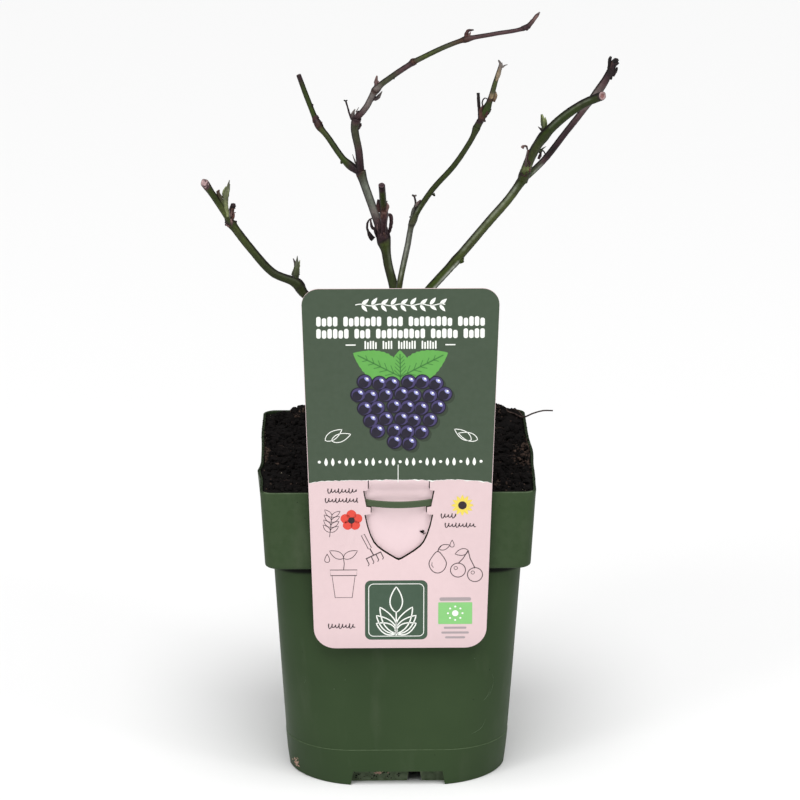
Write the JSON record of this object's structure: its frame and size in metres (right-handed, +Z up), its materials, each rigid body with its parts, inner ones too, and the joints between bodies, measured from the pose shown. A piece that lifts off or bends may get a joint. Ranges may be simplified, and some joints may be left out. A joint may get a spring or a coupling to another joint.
{
  "type": "potted thornless bramble bush",
  "caption": "Young bare thornless bramble with pruned canes on a short stem, in a square plastic nursery pot of soil with a plain printed label card hung on its collar.",
  "frame": {"origin": "middle of the pot's flat underside, on the surface that it stands on", "axes": "+Z up along the stem, -Y towards the label on the front of the collar, +X to the right as seen from the front"},
  "size_m": [0.1677, 0.1176, 0.3134],
  "materials": {
    "pot_plastic": "moss-green injection-moulded polypropylene with a soft sheen, light scuffs and soil specks",
    "potting_soil": "moist near-black potting soil with brown fibres and a few pale grains",
    "label_card": "thin printed polypropylene card, green above and pale pink below",
    "old_bark": "grey-brown ridged old bark",
    "green_bark": "smooth green young bark with a pale waxy bloom and brown node scars",
    "brown_bark": "purplish-brown bark, green below, with dry brown buds"
  },
  "bodies": {
    "root": {"pot": "pot_plastic", "soil": "potting_soil", "label": "label_card", "stem": "old_bark", "cane_left": "green_bark", "cane_left_tip": "green_bark", "cane_middle": "brown_bark", "stub_middle": "green_bark", "cane_middle_upper": "brown_bark", "arch_lower": "brown_bark", "arch_outer": "brown_bark", "branch_middle_left": "brown_bark", "cane_front": "green_bark", "cane_front_tip": "brown_bark", "cane_right": "green_bark", "branch_right_green": "green_bark", "branch_right_brown": "brown_bark"}
  },
  "joints": []
}
